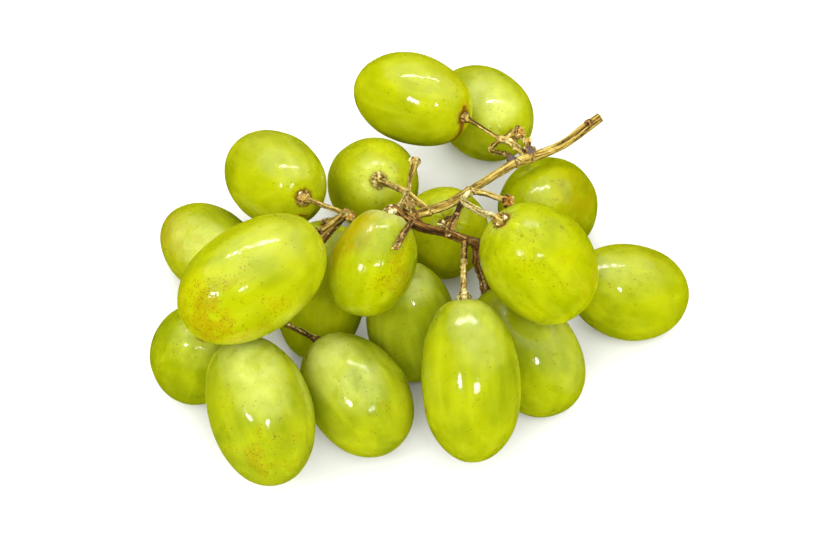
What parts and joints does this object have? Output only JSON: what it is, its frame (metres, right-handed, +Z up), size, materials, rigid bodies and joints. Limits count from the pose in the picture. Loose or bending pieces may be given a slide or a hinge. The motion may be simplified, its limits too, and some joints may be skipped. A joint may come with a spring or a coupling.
{
  "type": "bunch of green grapes",
  "caption": "Loose bunch of oval green table grapes on a branched woody stem, lying on its side, with a cut main stalk and bare stubs where berries were picked",
  "frame": {"origin": "on the resting surface, at the middle of the bunch's box seen from above", "axes": "+Z up. +Y runs from the berries at the front to the two berries at the far end, which is the longest extent. +X runs to the side the cut end of the main stalk points to."},
  "size_m": [0.1224, 0.1274, 0.055],
  "materials": {
    "grape_skin": "thin glossy yellow-green skin over translucent flesh, with a patchy pale bloom, fine brown specks and russet round the stem end",
    "stem_wood": "dry straw to olive brown stalk with fine lengthwise ridges, dark woody forks and pale corky spots"
  },
  "bodies": {
    "root": {"stem": "stem_wood", "berry_01": "grape_skin", "berry_02": "grape_skin", "berry_03": "grape_skin", "berry_04": "grape_skin", "berry_05": "grape_skin", "berry_06": "grape_skin", "berry_07": "grape_skin", "berry_08": "grape_skin", "berry_09": "grape_skin", "berry_10": "grape_skin", "berry_11": "grape_skin", "berry_12": "grape_skin", "berry_13": "grape_skin", "berry_14": "grape_skin", "berry_15": "grape_skin", "berry_16": "grape_skin", "berry_17": "grape_skin", "berry_18": "grape_skin"}
  },
  "joints": []
}
